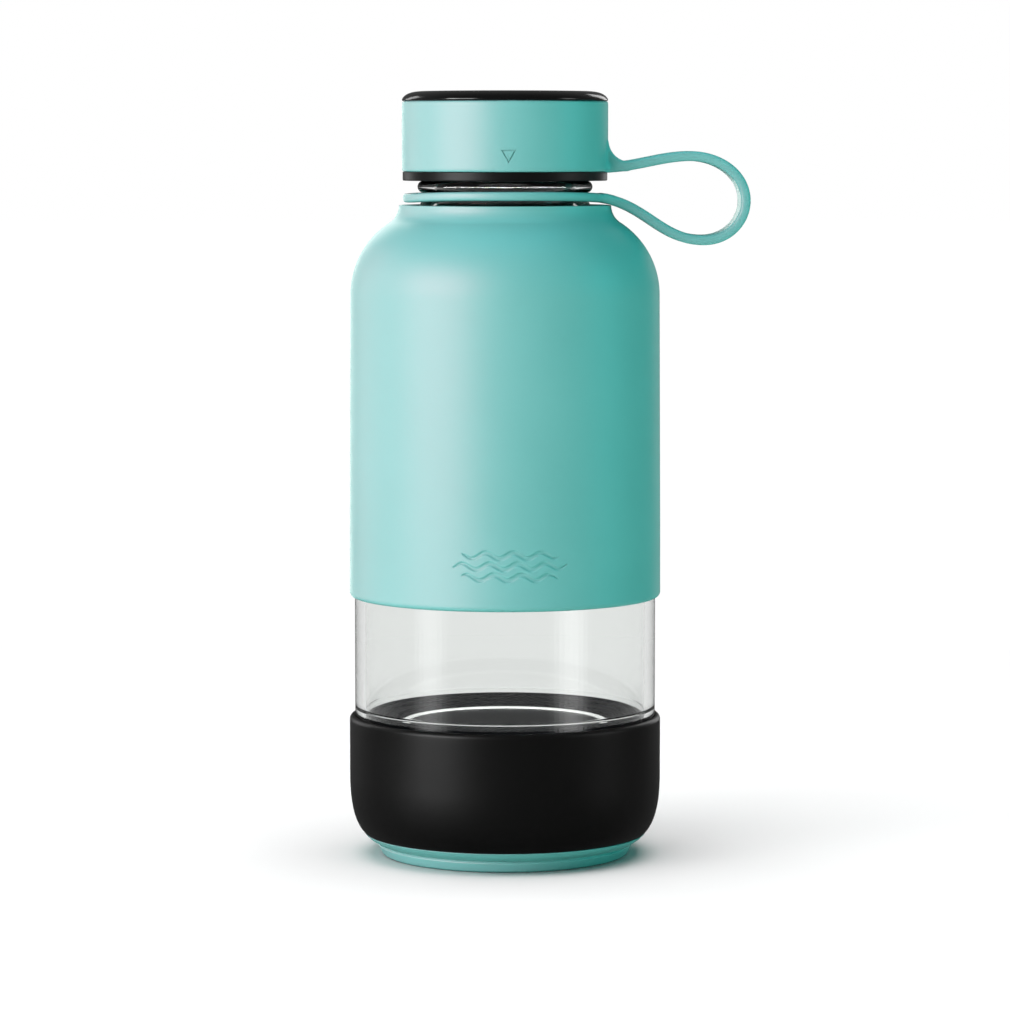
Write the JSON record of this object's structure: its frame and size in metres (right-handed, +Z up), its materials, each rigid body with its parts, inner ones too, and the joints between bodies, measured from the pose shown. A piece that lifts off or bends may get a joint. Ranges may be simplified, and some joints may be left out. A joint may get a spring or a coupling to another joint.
{
  "type": "water bottle",
  "caption": "Glass water bottle with a soft teal sleeve, a black screw-on base cup, and a screw cap with a silicone band, finger loop and neck ring.",
  "frame": {"origin": "on the bottle's axis, in the plane of the foot's underside", "axes": "+Z up along the bottle, +X towards the carry loop, -Y towards the mark on the cap's band"},
  "size_m": [0.1088, 0.085, 0.208],
  "materials": {
    "teal_silicone": "matt teal silicone",
    "soft_black": "soft-touch black",
    "gloss_black": "polished black",
    "black_seal": "smooth black silicone",
    "clear_glass": "clear"
  },
  "bodies": {
    "base": {"base_foot": "teal_silicone", "base_cup": "soft_black", "base_insert": "gloss_black"},
    "seal": {"base_seal": "black_seal"},
    "bottle": {"glass_body": "clear_glass", "body_sleeve": "teal_silicone"},
    "tether": {"neck_ring": "teal_silicone", "carry_loop": "teal_silicone"},
    "cap": {"cap_shell": "soft_black", "cap_band": "teal_silicone", "cap_crown": "gloss_black", "cap_plug": "gloss_black", "plug_seal": "black_seal"}
  },
  "joints": [
    {"name": "bottle_turn", "type": "hinge", "parent": "base", "child": "seal", "pos_m": [0, 0, 0], "axis": [0, 0, 1], "range_deg": [0, 540]},
    {"name": "bottle_rise", "type": "slide", "parent": "seal", "child": "bottle", "axis": [0, 0, 1], "range_m": [0, 0.00601]},
    {"name": "cap_turn", "type": "hinge", "parent": "bottle", "child": "tether", "pos_m": [0, 0, 0.18], "axis": [0, 0, 1], "range_deg": [0, 540]},
    {"name": "cap_rise", "type": "slide", "parent": "tether", "child": "cap", "axis": [0, 0, 1], "range_m": [0, 0.00601]}
  ],
  "couplings": [
    {"joint": "bottle_rise", "follows": "bottle_turn", "m_per_rad": 0.00063662},
    {"joint": "cap_rise", "follows": "cap_turn", "m_per_rad": 0.00063662}
  ]
}
